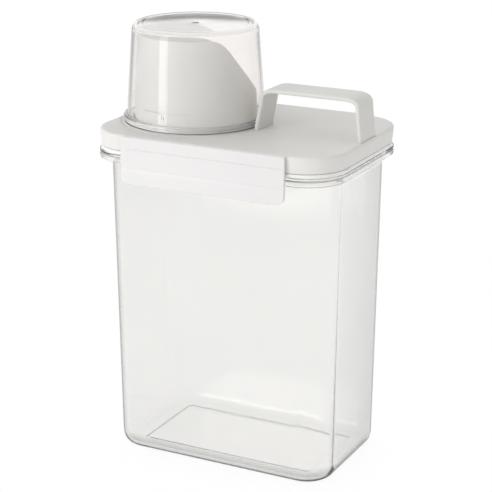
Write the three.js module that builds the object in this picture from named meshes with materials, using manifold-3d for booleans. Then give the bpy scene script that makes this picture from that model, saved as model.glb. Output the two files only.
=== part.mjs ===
// Cereal dispenser: a clear container with a white lid, an upright pouring spout under an
// upturned measuring cup, a carrying handle and two flap latches.
//
// Units are millimetres. +Z is up, X runs along the long side, -Y faces the front.
// The origin is on the resting surface, under the middle of the container.

import * as THREE from 'three';
import { mergeVertices } from 'three/addons/utils/BufferGeometryUtils.js';
import Module from 'manifold-3d';

const wasm = await Module();
wasm.setup();

// ---------------------------------------------------------------- driving dimensions

const GAP = 0.3; // clearance between pieces that touch
const CORNER_STEPS = 7; // facets in a quarter turn of a rounded rectangle
const SOFT = 0.5; // usual softening of an edge
const OVERRUN = 1; // how far a cutting tool runs past what it cuts

const BODY_LENGTH = 155.4; // container's outside just under its rim, along X
const BODY_DEPTH = 97.8; // and along Y
const BODY_CORNER = 22;
const BODY_DRAFT = 3; // how much narrower each side is, in all, at the base
const BODY_WALL = 2.2;
const BASE_ROUND = 9.3; // rounding between the walls and the base
const PANEL_MARGIN = 17.7; // from the container's outside to the panel raised into the base
const PANEL_CORNER = 4.5;
const PANEL_RISE = 0.6;
const PANEL_SLOPE = 1; // how far the panel's edge runs in as it rises

const LID_OVERHANG_X = 4.8; // how far the lid stands out past the container, each end
const LID_OVERHANG_Y = 9.7; // and each long side
const LID_CORNER_GROWTH = 5; // how much rounder the lid's corners are than the container's
const LID_TOP = 211.9; // height of the lid's upper face
const LID_SKIRT_HEIGHT = 10.4;
const LID_TAPER = 1.1; // how far each side of the skirt leans in, top to bottom
const LID_PLATE = 2.5; // thickness of the top plate
const LID_EDGE = 2.4; // rounding between the top and the skirt

const PLUG_CLEARANCE = 1; // between the plug wall and the container's mouth
const PLUG_WALL = 1.8;
const PLUG_REACH = 3.2; // how far the plug wall drops below the rim's top
const PLUG_LEAD_IN = 0.6;
const CHANNEL_WIDTH = 4.6; // between the plug wall and the skirt's inside

const RIM_OVERHANG = 0.7; // how far the rim stands out past the lid's skirt
const RIM_HEIGHT = 5.4;
const RIM_LIP = 1.7; // thickness of the rim's turned-down lip
const RIM_FLANGE = 2.6; // thickness of the rim's upper flange
const RIM_GROOVE = 0.9; // depth of the groove round the lip
const RIM_GROOVE_UP = 2.5; // from the lip's lower edge to the groove

const GASKET_THICKNESS = 1.7;
const GASKET_RIB = 4.8; // height of the rib that sits in the lid's channel
const GASKET_PROUD = 0.2; // how far the gasket shows past the skirt
const TAB_WIDTH = 6;
const TAB_REACH = 1; // how far the gasket's pull tab stands out past the skirt

const LATCH_END_MARGIN = 0.8; // from the lid's corner rounding to a latch's end
const LATCH_THICKNESS = 2;
const LATCH_DROP = 29.3; // from the top edge to the lower edge
const LATCH_TOP_BELOW_LID = 0.1;
const LATCH_HINGE_BAND = 7.3; // from the top edge to the upper score line
const LATCH_GRIP_BAND = 10.6; // from the crease to the lower edge
const LATCH_CORNER = 5;
const SCORE = 0.3; // depth and half width of the score line
const CREASE_STEP = 0.4; // how far the grip band starts behind the middle band
const HOOK_HEIGHT = 1.3;
const LEDGE_CHAMFER = 0.3;

const SPOUT_FOOT_RADIUS = 38.4;
const SPOUT_TAPER = 2.4; // how much smaller the radius is at the top
const SPOUT_WALL = 1.8;
const SPOUT_HEIGHT = 55; // above the lid
const SPOUT_CUT_FACING = 40.5; // degrees from +X towards +Y
const SPOUT_CUT_SLOPE = 54.5; // degrees from level
const SPOUT_CUT_LOW = 15.6; // height above the lid where the cut leaves the tube
const SPOUT_CUT_ROUND = 9;
const SPOUT_CUT_INSET = 1.5; // from the foot's outside to where the cut leaves the tube
const SPOUT_SEAT_DEPTH = 1.2; // how deep the spout's foot sits in the lid

const SEAL_WIDTH = 2.8; // ring between the spout's foot and the cup's mouth
const SEAL_HEIGHT = 2.6;

const CUP_WALL = 1.7;
const CUP_TAPER = 4.3; // how much smaller the radius is at the base
const CUP_HEADROOM = 4.3; // between the spout's top and the inside of the cup's base
const CUP_SHOULDER = 5.5;
const CUP_COLLAR = 1.7; // how far the collar stands out
const CUP_COLLAR_HEIGHT = 4;
const CUP_END_MARGIN = 1.5; // from the collar to the lid's end
const CUP_RECESS = 0.5; // depth of the recess in the cup's base
const CUP_RECESS_MARGIN = 0.8;
const MOAT_WIDTH = 1.8; // shallow channel in the lid round the cup's collar
const MOAT_DEPTH = 0.5;

const HANDLE_WIDTH = 22; // along Y
const HANDLE_STRAP = 2.5;
const HANDLE_RISE = 26.4; // above the lid
const HANDLE_CUP_CLEARANCE = 0.8; // from the cup's collar to the left leg
const HANDLE_END_MARGIN = 1.5; // from the right leg to the lid's end
const HANDLE_ROUND = 9; // bend between a leg and the grip
const HANDLE_LEAN_LEFT = 4.2; // how far the left leg leans in
const HANDLE_LEAN_RIGHT = 2.2;
const HANDLE_SOCKET = 1.6; // depth of the sockets in the lid

// ---------------------------------------------------------------- derived dimensions

const LID_LENGTH = BODY_LENGTH + 2 * LID_OVERHANG_X;
const LID_DEPTH = BODY_DEPTH + 2 * LID_OVERHANG_Y;
const LID_CORNER = BODY_CORNER + LID_CORNER_GROWTH;
const SKIRT_BOTTOM = LID_TOP - LID_SKIRT_HEIGHT;
const SKIRT_LENGTH = LID_LENGTH - 2 * LID_TAPER;
const SKIRT_DEPTH = LID_DEPTH - 2 * LID_TAPER;
const SKIRT_CORNER = LID_CORNER - 2;
const PLATE_UNDERSIDE = LID_TOP - LID_PLATE;

const RIM_TOP = SKIRT_BOTTOM - 2 * GAP - GASKET_THICKNESS;
const RIM_BOTTOM = RIM_TOP - RIM_HEIGHT;
const RIM_LENGTH = SKIRT_LENGTH + 2 * RIM_OVERHANG;
const RIM_DEPTH = SKIRT_DEPTH + 2 * RIM_OVERHANG;

const MOUTH_LENGTH = BODY_LENGTH - 2 * BODY_WALL;
const MOUTH_DEPTH = BODY_DEPTH - 2 * BODY_WALL;
const MOUTH_CORNER = BODY_CORNER - BODY_WALL;
const PANEL_LENGTH = BODY_LENGTH - 2 * PANEL_MARGIN;
const PANEL_DEPTH = BODY_DEPTH - 2 * PANEL_MARGIN;

const PLUG_LENGTH = MOUTH_LENGTH - 2 * PLUG_CLEARANCE; // plug wall, which drops into the mouth
const PLUG_DEPTH = MOUTH_DEPTH - 2 * PLUG_CLEARANCE;
const PLUG_CORNER = MOUTH_CORNER - PLUG_CLEARANCE;
const PLUG_BOTTOM = RIM_TOP - PLUG_REACH;

const LATCH_LENGTH = LID_LENGTH - 2 * LID_CORNER - 2 * LATCH_END_MARGIN;
const LATCH_BACK = RIM_DEPTH / 2 + 2 * GAP;
const LATCH_FRONT = LATCH_BACK + LATCH_THICKNESS;
const LATCH_TOP = LID_TOP - LATCH_TOP_BELOW_LID;
const LATCH_BOTTOM = LATCH_TOP - LATCH_DROP;
const LEDGE_FRONT = LATCH_BACK - GAP;

const SPOUT_TOP_RADIUS = SPOUT_FOOT_RADIUS - SPOUT_TAPER;
const CUP_MOUTH_RADIUS = SPOUT_FOOT_RADIUS + 2 * GAP + SEAL_WIDTH + CUP_WALL; // above the collar
const CUP_BASE_RADIUS = CUP_MOUTH_RADIUS - CUP_TAPER;
const CUP_MOUTH = LID_TOP + GAP;
const CUP_HEIGHT = SPOUT_HEIGHT + CUP_HEADROOM + CUP_WALL - GAP;
const COLLAR_RADIUS = CUP_MOUTH_RADIUS + CUP_COLLAR;
const SPOUT_X = COLLAR_RADIUS + CUP_END_MARGIN - LID_LENGTH / 2; // axis of the spout and cup

const HANDLE_LEFT = SPOUT_X + COLLAR_RADIUS + HANDLE_CUP_CLEARANCE; // outer face of the left leg
const HANDLE_RIGHT = LID_LENGTH / 2 - HANDLE_END_MARGIN; // outer face of the right leg

// ---------------------------------------------------------------- geometry helpers

/** Outline of a rounded rectangle at height z, anticlockwise from above. */
function roundedRing(length, depth, radius, z) {
  const halfLength = length / 2 - radius;
  const halfDepth = depth / 2 - radius;
  const centres = [[halfLength, -halfDepth], [halfLength, halfDepth],
    [-halfLength, halfDepth], [-halfLength, -halfDepth]];
  return centres.flatMap(([x, y], corner) => {
    const start = (corner - 1) * Math.PI / 2;
    return Array.from({ length: CORNER_STEPS + 1 }, (_, i) => {
      const angle = start + i * Math.PI / 2 / CORNER_STEPS;
      return new THREE.Vector3(x + radius * Math.cos(angle), y + radius * Math.sin(angle), z);
    });
  });
}

/** Body through a stack of rings: closed by two caps, or joined end to start when looped. */
function loft(rings, looped = false) {
  const sides = rings[0].length;
  const points = rings.flat();
  const triangles = [];
  const last = looped ? rings.length : rings.length - 1;
  for (let r = 0; r < last; r += 1) {
    const low = r * sides;
    const high = ((r + 1) % rings.length) * sides;
    for (let i = 0; i < sides; i += 1) {
      const j = (i + 1) % sides;
      triangles.push(low + i, low + j, high + j, low + i, high + j, high + i);
    }
  }
  if (!looped) {
    for (let i = 1; i < sides - 1; i += 1) triangles.push(0, i + 1, i);
    const top = (rings.length - 1) * sides;
    for (let i = 1; i < sides - 1; i += 1) triangles.push(top, top + i, top + i + 1);
  }
  const geometry = new THREE.BufferGeometry().setFromPoints(points);
  geometry.setIndex(triangles);
  return geometry;
}

/** Closed geometry as a manifold solid. */
function solid(geometry) {
  const bare = geometry.clone();
  bare.deleteAttribute('normal');
  bare.deleteAttribute('uv');
  const merged = mergeVertices(bare, 1e-4);
  return new wasm.Manifold(new wasm.Mesh({
    numProp: 3,
    vertProperties: new Float32Array(merged.attributes.position.array),
    triVerts: new Uint32Array(merged.index.array),
  }));
}

/** Manifold solid back as geometry. */
function geometryOf(manifold) {
  const mesh = manifold.getMesh();
  const geometry = new THREE.BufferGeometry();
  geometry.setAttribute('position', new THREE.BufferAttribute(mesh.vertProperties, 3));
  geometry.setIndex(new THREE.BufferAttribute(mesh.triVerts, 1));
  return geometry;
}

function box(x0, x1, y0, y1, z0, z1) {
  const geometry = new THREE.BoxGeometry(x1 - x0, y1 - y0, z1 - z0);
  return solid(geometry.translate((x0 + x1) / 2, (y0 + y1) / 2, (z0 + z1) / 2));
}

/** Solid of revolution about the vertical line through (x, 0), from [radius, z] points. */
function turned(profile, x = 0, steps = 72) {
  const points = profile.map(([radius, z]) => new THREE.Vector2(radius, z));
  return solid(new THREE.LatheGeometry(points, steps).rotateX(Math.PI / 2).translate(x, 0, 0));
}

/** Outline in the XZ plane, drawn as a THREE.Shape, made into a slab from y0 to y1. */
function slabAlongY(shape, y0, y1) {
  const geometry = new THREE.ExtrudeGeometry(shape, {
    depth: y1 - y0, bevelEnabled: false, curveSegments: 6,
  });
  return solid(geometry.rotateX(Math.PI / 2).translate(0, y1, 0));
}

/** Quarter-round between two sizes: [how far in, how far up] for each facet. */
function quarterRound(radius, steps) {
  return Array.from({ length: steps + 1 }, (_, i) => {
    const angle = i * Math.PI / 2 / steps;
    return [radius * (1 - Math.cos(angle)), radius * Math.sin(angle)];
  });
}

// ---------------------------------------------------------------- container

/** The container's wall at height z: outside size, less an inset on every side. */
function bodyRing(z, inset = 0) {
  const draft = BODY_DRAFT * 2 * (1 - z / RIM_BOTTOM);
  return roundedRing(BODY_LENGTH - draft - 2 * inset, BODY_DEPTH - draft - 2 * inset,
    BODY_CORNER - draft / 2 - inset, z);
}

function rimRing(z, inset) {
  return roundedRing(RIM_LENGTH - 2 * inset, RIM_DEPTH - 2 * inset, SKIRT_CORNER - inset / 2, z);
}

/** Outline of the container's mouth, moved out by an outset. */
function mouthRing(z, outset) {
  return roundedRing(MOUTH_LENGTH + 2 * outset, MOUTH_DEPTH + 2 * outset, MOUTH_CORNER + outset, z);
}

/** Outline of the panel raised into the base, moved in by an inset. */
function panelRing(z, inset) {
  return roundedRing(PANEL_LENGTH - 2 * inset, PANEL_DEPTH - 2 * inset, PANEL_CORNER - inset, z);
}

function makeContainer() {
  const outsideRound = quarterRound(BASE_ROUND, 5)
    .map(([inset, up]) => bodyRing(BASE_ROUND - up, inset)).reverse();
  const insideRadius = BASE_ROUND - BODY_WALL;
  const insideRound = quarterRound(insideRadius, 5)
    .map(([inset, up]) => bodyRing(BASE_ROUND - up, BODY_WALL + inset));
  const groove = RIM_BOTTOM + RIM_GROOVE_UP;
  const flange = RIM_TOP - RIM_FLANGE;
  const rings = [
    panelRing(PANEL_RISE, PANEL_SLOPE),
    panelRing(0, 0),
    ...outsideRound,
    bodyRing(RIM_BOTTOM),
    bodyRing(flange - 2 * SOFT),
    bodyRing(flange, -2 * SOFT),
    rimRing(flange, RIM_LIP + SOFT),
    rimRing(RIM_BOTTOM, RIM_LIP),
    rimRing(RIM_BOTTOM, SOFT),
    rimRing(RIM_BOTTOM + SOFT, 0),
    rimRing(groove - SOFT, 0),
    rimRing(groove, RIM_GROOVE),
    rimRing(groove + RIM_GROOVE, RIM_GROOVE),
    rimRing(groove + RIM_GROOVE + SOFT, 0),
    rimRing(RIM_TOP - SOFT, 0),
    rimRing(RIM_TOP, SOFT),
    mouthRing(RIM_TOP, SOFT),
    mouthRing(RIM_TOP - SOFT, 0),
    ...insideRound,
    panelRing(BODY_WALL, 0),
    panelRing(BODY_WALL + PANEL_RISE, PANEL_SLOPE),
  ];
  return loft(rings);
}

// ---------------------------------------------------------------- lid

function lidOutside() {
  const edge = quarterRound(LID_EDGE, 4).map(([inset, up]) => roundedRing(
    LID_LENGTH - 2 * inset, LID_DEPTH - 2 * inset, LID_CORNER - inset, LID_TOP - LID_EDGE + up));
  return solid(loft([roundedRing(SKIRT_LENGTH, SKIRT_DEPTH, SKIRT_CORNER, SKIRT_BOTTOM), ...edge]));
}

/** Flat strip that carries the lid's top out to a latch's hinge line; side is -1 or 1 in Y. */
function hingeLedge(side) {
  const half = LATCH_LENGTH / 2;
  const inner = LID_DEPTH / 2 - 2 * LID_EDGE;
  const section = [[inner, LID_TOP], [LEDGE_FRONT - LEDGE_CHAMFER, LID_TOP],
    [LEDGE_FRONT, LID_TOP - LEDGE_CHAMFER], [LEDGE_FRONT, PLATE_UNDERSIDE], [inner, PLATE_UNDERSIDE]];
  return alongX(section, -half, half, side);
}

/** Slab along X from [distance out, z] points, on the front (side -1) or rear (side 1). */
function alongX(section, x0, x1, side) {
  const shape = new THREE.Shape(section.map(([out, z]) => new THREE.Vector2(side * out, z)));
  const geometry = new THREE.ExtrudeGeometry(shape, { depth: x1 - x0, bevelEnabled: false });
  // shape's x and y become Y and Z, and the depth runs along X
  const turn = new THREE.Matrix4().makeBasis(
    new THREE.Vector3(0, 1, 0), new THREE.Vector3(0, 0, 1), new THREE.Vector3(1, 0, 0));
  return solid(geometry.applyMatrix4(turn).translate(x0, 0, 0));
}

function handleSocket(outerFace, inward) {
  const far = outerFace + inward * HANDLE_STRAP;
  const low = Math.min(outerFace, far) - GAP;
  const high = Math.max(outerFace, far) + GAP;
  const half = HANDLE_WIDTH / 2 + GAP;
  return box(low, high, -half, half, LID_TOP - HANDLE_SOCKET, LID_TOP + OVERRUN);
}

/** Outline of the plug wall, moved out by an outset. */
function plugRing(z, outset) {
  return roundedRing(PLUG_LENGTH + 2 * outset, PLUG_DEPTH + 2 * outset, PLUG_CORNER + outset, z);
}

/** Solid disc on the spout's axis. */
function disc(radius, z0, z1) {
  return turned([[0, z0], [radius, z0], [radius, z1], [0, z1]], SPOUT_X);
}

function makeLid() {
  const skirtInside = solid(loft([
    plugRing(SKIRT_BOTTOM - OVERRUN, CHANNEL_WIDTH), plugRing(PLATE_UNDERSIDE, CHANNEL_WIDTH)]));
  const plugWall = solid(loft([
    plugRing(PLUG_BOTTOM, -PLUG_LEAD_IN),
    plugRing(PLUG_BOTTOM + OVERRUN, 0),
    plugRing(PLATE_UNDERSIDE + SOFT, 0),
    plugRing(PLATE_UNDERSIDE + SOFT, -PLUG_WALL),
    plugRing(PLUG_BOTTOM, -PLUG_WALL),
  ], true));
  const seatFloor = LID_TOP - SPOUT_SEAT_DEPTH;
  const over = LID_TOP + OVERRUN;
  const spoutSeat = disc(SPOUT_FOOT_RADIUS + GAP, seatFloor, over);
  const spoutHole = disc(SPOUT_FOOT_RADIUS - SPOUT_WALL, PLATE_UNDERSIDE - OVERRUN, over);
  const moatInside = COLLAR_RADIUS + GAP;
  const moatFloor = LID_TOP - MOAT_DEPTH;
  const moat = turned([[moatInside, over], [moatInside, moatFloor],
    [moatInside + MOAT_WIDTH / 2, moatFloor], [moatInside + MOAT_WIDTH, over],
    [moatInside, over]], SPOUT_X, 80);
  const cuts = [spoutSeat, spoutHole, moat, handleSocket(HANDLE_LEFT, 1), handleSocket(HANDLE_RIGHT, -1)];
  const shell = lidOutside().add(hingeLedge(-1)).add(hingeLedge(1)).subtract(skirtInside).add(plugWall);
  return geometryOf(cuts.reduce((body, cut) => body.subtract(cut), shell));
}

// ---------------------------------------------------------------- gasket

function makeGasket() {
  const bottom = RIM_TOP + GAP;
  const top = bottom + GASKET_THICKNESS;
  const ribTop = top + GASKET_RIB;
  const clear = 2 * GAP; // from the channel's walls to the rib's foot
  const flange = (inset, z) => roundedRing(
    SKIRT_LENGTH + 2 * (GASKET_PROUD - inset), SKIRT_DEPTH + 2 * (GASKET_PROUD - inset),
    SKIRT_CORNER - inset, z);
  const ring = solid(loft([
    flange(SOFT, bottom), flange(0, bottom + SOFT), flange(0, top - SOFT), flange(SOFT, top),
    plugRing(top, CHANNEL_WIDTH - clear), plugRing(ribTop, CHANNEL_WIDTH - clear - GAP),
    plugRing(ribTop, clear + GAP), plugRing(bottom, clear),
  ], true));
  const tabEnd = SKIRT_LENGTH / 2 + TAB_REACH;
  const tabMiddle = -(SKIRT_DEPTH / 2 - SKIRT_CORNER);
  const tab = box(tabEnd - 4 * TAB_REACH, tabEnd, tabMiddle - TAB_WIDTH / 2, tabMiddle + TAB_WIDTH / 2,
    bottom + GAP, top - GAP);
  return geometryOf(ring.add(tab));
}

// ---------------------------------------------------------------- latches

/** Section of a latch as [distance out, z]: hinge band, middle band, hook and flared grip. */
function latchSection() {
  const score = LATCH_TOP - LATCH_HINGE_BAND;
  const crease = LATCH_BOTTOM + LATCH_GRIP_BAND;
  const hookTip = RIM_DEPTH / 2 + GAP;
  const hookTop = RIM_BOTTOM - GAP;
  const flat = LATCH_FRONT - 0.1 * SOFT; // the hinge band stands a little behind
  return [
    [LATCH_BACK, LATCH_TOP - GAP],
    [LATCH_BACK, hookTop],
    [hookTip, hookTop - GAP],
    [hookTip, hookTop - GAP - HOOK_HEIGHT],
    [LATCH_BACK, hookTop - 2 * HOOK_HEIGHT],
    [LATCH_BACK + GAP, LATCH_BOTTOM + SOFT],
    [LATCH_BACK + GAP + SOFT, LATCH_BOTTOM],
    [LATCH_FRONT, LATCH_BOTTOM],
    [LATCH_FRONT + GAP, LATCH_BOTTOM + SOFT],
    [LATCH_FRONT - CREASE_STEP, crease - SOFT],
    [LATCH_FRONT, crease],
    [LATCH_FRONT, score - SCORE],
    [LATCH_FRONT - SCORE, score],
    [flat, score + SCORE],
    [flat, LATCH_TOP - SOFT],
    [flat - SOFT, LATCH_TOP],
    [LATCH_BACK + GAP, LATCH_TOP],
  ];
}

/** Front view of a latch, with its two lower corners rounded. */
function latchOutline() {
  const half = LATCH_LENGTH / 2;
  const shape = new THREE.Shape();
  shape.moveTo(-half, LATCH_TOP + OVERRUN);
  shape.lineTo(-half, LATCH_BOTTOM + LATCH_CORNER);
  shape.absarc(-half + LATCH_CORNER, LATCH_BOTTOM + LATCH_CORNER, LATCH_CORNER, Math.PI, 1.5 * Math.PI);
  shape.absarc(half - LATCH_CORNER, LATCH_BOTTOM + LATCH_CORNER, LATCH_CORNER, 1.5 * Math.PI, 2 * Math.PI);
  shape.lineTo(half, LATCH_TOP + OVERRUN);
  return shape;
}

function makeLatch(side) {
  const half = LATCH_LENGTH / 2;
  const plate = alongX(latchSection(), -half, half, side);
  const reach = LATCH_FRONT + LATCH_THICKNESS;
  const outline = slabAlongY(latchOutline(), -reach, reach);
  return geometryOf(plate.intersect(outline));
}

// ---------------------------------------------------------------- spout and seal

/** Everything above the slanted mouth: a slab with a rounded step, turned to face its way. */
function spoutMouthCut() {
  const low = LID_TOP + SPOUT_CUT_LOW;
  const top = LID_TOP + SPOUT_HEIGHT;
  const slope = Math.tan(SPOUT_CUT_SLOPE * Math.PI / 180);
  const lowReach = SPOUT_FOOT_RADIUS - SPOUT_CUT_INSET;
  const shoulder = lowReach - (top - low) / slope;
  const run = SPOUT_CUT_ROUND * Math.cos(SPOUT_CUT_SLOPE * Math.PI / 180);
  const past = 4 * SPOUT_CUT_INSET; // the slope runs on this far outside the tube
  const far = 2 * SPOUT_FOOT_RADIUS;
  const shape = new THREE.Shape();
  shape.moveTo(shoulder - SPOUT_CUT_ROUND, top);
  shape.quadraticCurveTo(shoulder, top, shoulder + run, top - run * slope);
  shape.lineTo(lowReach + past, low - past * slope);
  shape.lineTo(far, low - past * slope);
  shape.lineTo(far, top + far);
  shape.lineTo(shoulder - SPOUT_CUT_ROUND, top + far);
  return slabAlongY(shape, -far, far).rotate([0, 0, SPOUT_CUT_FACING]).translate([SPOUT_X, 0, 0]);
}

function makeSpout() {
  const foot = LID_TOP - SPOUT_SEAT_DEPTH + GAP;
  const top = LID_TOP + SPOUT_HEIGHT;
  const tube = turned([
    [SPOUT_FOOT_RADIUS - SPOUT_WALL, foot], [SPOUT_FOOT_RADIUS, foot], [SPOUT_TOP_RADIUS, top - SOFT],
    [SPOUT_TOP_RADIUS - SOFT, top], [SPOUT_TOP_RADIUS - SPOUT_WALL + SOFT, top],
    [SPOUT_TOP_RADIUS - SPOUT_WALL, top - SOFT], [SPOUT_FOOT_RADIUS - SPOUT_WALL, foot],
  ], SPOUT_X);
  return geometryOf(tube.subtract(spoutMouthCut()));
}

function makeCupSeal() {
  const top = CUP_MOUTH + SEAL_HEIGHT;
  const inner = SPOUT_FOOT_RADIUS + GAP;
  const outer = inner + SEAL_WIDTH;
  const ring = turned([[inner, CUP_MOUTH], [outer - SOFT, CUP_MOUTH], [outer, CUP_MOUTH + SOFT],
    [outer, top - SOFT], [outer - SOFT, top], [inner, top], [inner, CUP_MOUTH]], SPOUT_X);
  return geometryOf(ring);
}

// ---------------------------------------------------------------- measuring cup

/** The upturned cup: collar at the mouth, tapered wall, rounded shoulder, recessed base. */
function makeCup() {
  const mouth = CUP_MOUTH;
  const base = mouth + CUP_HEIGHT;
  const lean = (CUP_MOUTH_RADIUS - CUP_BASE_RADIUS) / CUP_HEIGHT;
  const outerAt = (z) => CUP_MOUTH_RADIUS - lean * (z - mouth);
  const shoulderStart = base - CUP_SHOULDER;
  const shoulder = quarterRound(CUP_SHOULDER, 5)
    .map(([inset, up]) => [outerAt(shoulderStart) - inset, shoulderStart + up]);
  const innerRound = CUP_SHOULDER - CUP_WALL;
  const innerShoulder = quarterRound(innerRound, 4)
    .map(([inset, up]) => [outerAt(shoulderStart) - CUP_WALL - inset, shoulderStart + up]).reverse();
  const flat = outerAt(shoulderStart) - CUP_SHOULDER;
  const profile = [
    [0, base - CUP_WALL],
    ...innerShoulder,
    [outerAt(mouth) - CUP_WALL, mouth],
    [COLLAR_RADIUS - SOFT, mouth],
    [COLLAR_RADIUS, mouth + SOFT],
    [COLLAR_RADIUS, mouth + CUP_COLLAR_HEIGHT - SOFT],
    [COLLAR_RADIUS - SOFT, mouth + CUP_COLLAR_HEIGHT],
    [outerAt(mouth + CUP_COLLAR_HEIGHT), mouth + CUP_COLLAR_HEIGHT],
    ...shoulder,
    [flat - CUP_RECESS_MARGIN, base],
    [flat - 2 * CUP_RECESS_MARGIN, base - CUP_RECESS],
    [0, base - CUP_RECESS],
  ];
  return geometryOf(turned(profile, SPOUT_X));
}

// ---------------------------------------------------------------- handle

/** Middle line of the strap as points in X and Z, with rounded upper corners. */
function handleLine() {
  const half = HANDLE_STRAP / 2;
  const foot = LID_TOP - HANDLE_SOCKET + GAP;
  const top = LID_TOP + HANDLE_RISE - half;
  const left = HANDLE_LEFT + half;
  const right = HANDLE_RIGHT - half;
  const shoulder = top - HANDLE_ROUND;
  const lean = 0.7; // share of a leg's lean that comes below the bend
  const path = new THREE.Path();
  path.moveTo(left, foot);
  path.lineTo(left, LID_TOP + OVERRUN);
  path.lineTo(left + HANDLE_LEAN_LEFT * lean, shoulder);
  path.quadraticCurveTo(left + HANDLE_LEAN_LEFT, top, left + HANDLE_LEAN_LEFT + HANDLE_ROUND, top);
  path.lineTo(right - HANDLE_LEAN_RIGHT - HANDLE_ROUND, top);
  path.quadraticCurveTo(right - HANDLE_LEAN_RIGHT, top, right - HANDLE_LEAN_RIGHT * lean, shoulder);
  path.lineTo(right, LID_TOP + OVERRUN);
  path.lineTo(right, foot);
  return path.getPoints(8);
}

function makeHandle() {
  const line = handleLine();
  const side = (offset) => line.map((point, i) => {
    const before = line[Math.max(i - 1, 0)];
    const after = line[Math.min(i + 1, line.length - 1)];
    const along = after.clone().sub(before).normalize();
    return new THREE.Vector2(point.x - along.y * offset, point.y + along.x * offset);
  });
  const outline = [...side(HANDLE_STRAP / 2), ...side(-HANDLE_STRAP / 2).reverse()];
  const half = HANDLE_WIDTH / 2;
  return geometryOf(slabAlongY(new THREE.Shape(outline), -half, half));
}

// ---------------------------------------------------------------- materials and assembly

const FINISHES = {
  clear: { color: 0xe9ebe8, roughness: 0.12, metalness: 0, transparent: true, opacity: 0.35 },
  cupClear: { color: 0xeeebe8, roughness: 0.1, metalness: 0, transparent: true, opacity: 0.35 },
  white: { color: 0xe7e7e3, roughness: 0.45, metalness: 0 },
  silicone: { color: 0xf2f2f0, roughness: 0.6, metalness: 0 },
};

function piece(name, geometry, finish) {
  const mesh = new THREE.Mesh(geometry, new THREE.MeshStandardMaterial(FINISHES[finish]));
  mesh.name = name;
  return mesh;
}

const dispenser = new THREE.Group();
dispenser.add(
  piece('container', makeContainer(), 'clear'),
  piece('lid', makeLid(), 'white'),
  piece('lid_gasket', makeGasket(), 'silicone'),
  piece('latch_front', makeLatch(-1), 'white'),
  piece('latch_rear', makeLatch(1), 'white'),
  piece('handle', makeHandle(), 'white'),
  piece('pour_spout', makeSpout(), 'white'),
  piece('cup_seal', makeCupSeal(), 'silicone'),
  piece('measuring_cup', makeCup(), 'cupClear'),
);

export default dispenser;
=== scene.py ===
"""Looks of a cereal dispenser: clear container, latched white lid, handle, spout and cup.

Every piece is built in metres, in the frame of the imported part, and rides on its body.
"""

import logging
import math
from dataclasses import dataclass, field
from enum import Enum
from typing import Callable, Sequence

import bmesh
import bpy
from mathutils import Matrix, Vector


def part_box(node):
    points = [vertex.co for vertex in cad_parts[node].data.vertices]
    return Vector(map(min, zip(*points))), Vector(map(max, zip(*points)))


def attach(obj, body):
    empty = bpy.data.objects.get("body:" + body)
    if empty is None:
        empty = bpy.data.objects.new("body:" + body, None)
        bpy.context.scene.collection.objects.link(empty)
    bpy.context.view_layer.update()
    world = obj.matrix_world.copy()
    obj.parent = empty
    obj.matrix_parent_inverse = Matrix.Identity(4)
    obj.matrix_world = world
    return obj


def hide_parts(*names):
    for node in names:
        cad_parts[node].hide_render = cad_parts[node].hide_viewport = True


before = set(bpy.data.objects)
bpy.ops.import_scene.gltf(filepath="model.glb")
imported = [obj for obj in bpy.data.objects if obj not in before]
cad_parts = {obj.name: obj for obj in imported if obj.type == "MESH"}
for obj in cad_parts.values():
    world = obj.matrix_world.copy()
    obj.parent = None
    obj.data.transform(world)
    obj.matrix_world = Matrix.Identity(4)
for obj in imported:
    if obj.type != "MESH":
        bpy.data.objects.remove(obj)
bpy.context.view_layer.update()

log = logging.getLogger("cereal_dispenser")

MM = 0.001
WELD = 1e-7
AXIS_RADIUS = 1e-5
SHARP_DEG = 38.0
GAP = 0.3 * MM

Pair = tuple[float, float]
Colour = tuple[float, float, float]
Place = tuple[float, float, float]
Station = tuple[float, ...]
Path = list[tuple[Station, float]]
Points = list[Vector]
Box = tuple[Vector, Vector]
Mesh = bmesh.types.BMesh
Piece = bpy.types.Object
Tree = bpy.types.NodeTree
Node = bpy.types.Node
Socket = bpy.types.NodeSocket


# ------------------------------------------------------------------ mesh helpers


def box_field(node: str) -> Box:
    """Field that takes a CAD node's box from the frame."""
    return field(default_factory=lambda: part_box(node))


def eased(path: Path, looped: bool = False, steps: int = 6) -> list[Station]:
    """Rounds the corners of a path through stations.

    Args:
        path: Pairs of a station and its ease. A station's first and last numbers are its
            place across and its height. The ease is how far from the corner the curve starts.
        looped: Whether the path returns to its start.
        steps: Facets in each rounded corner.
    """
    def span(a: Station, b: Station) -> float:
        return math.hypot(a[0] - b[0], a[-1] - b[-1])

    def towards(a: Station, b: Station, share: float) -> Station:
        return tuple(p + (q - p) * share for p, q in zip(a, b))

    count = len(path)
    result: list[Station] = []
    for i, (corner, ease) in enumerate(path):
        at_end = not looped and i in (0, count - 1)
        if ease <= 0 or at_end:
            result.append(corner)
            continue
        before, after = path[i - 1][0], path[(i + 1) % count][0]
        start = towards(corner, before, min(ease / span(corner, before), 0.5))
        end = towards(corner, after, min(ease / span(corner, after), 0.5))
        for k in range(steps + 1):
            s = k / steps
            first, second = towards(start, corner, s), towards(corner, end, s)
            result.append(towards(first, second, s))
    return result


def mesh_object(name: str, bm: Mesh) -> Piece:
    """Turns a bmesh into a smooth-shaded object with its hard edges kept sharp."""
    bmesh.ops.remove_doubles(bm, verts=bm.verts[:], dist=WELD)
    bmesh.ops.recalc_face_normals(bm, faces=bm.faces[:])
    mesh = bpy.data.meshes.new(name)
    bm.to_mesh(mesh)
    bm.free()
    for polygon in mesh.polygons:
        polygon.use_smooth = True
    mesh.set_sharp_from_angle(angle=math.radians(SHARP_DEG))
    obj = bpy.data.objects.new(name, mesh)
    bpy.context.scene.collection.objects.link(obj)
    return obj


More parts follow.
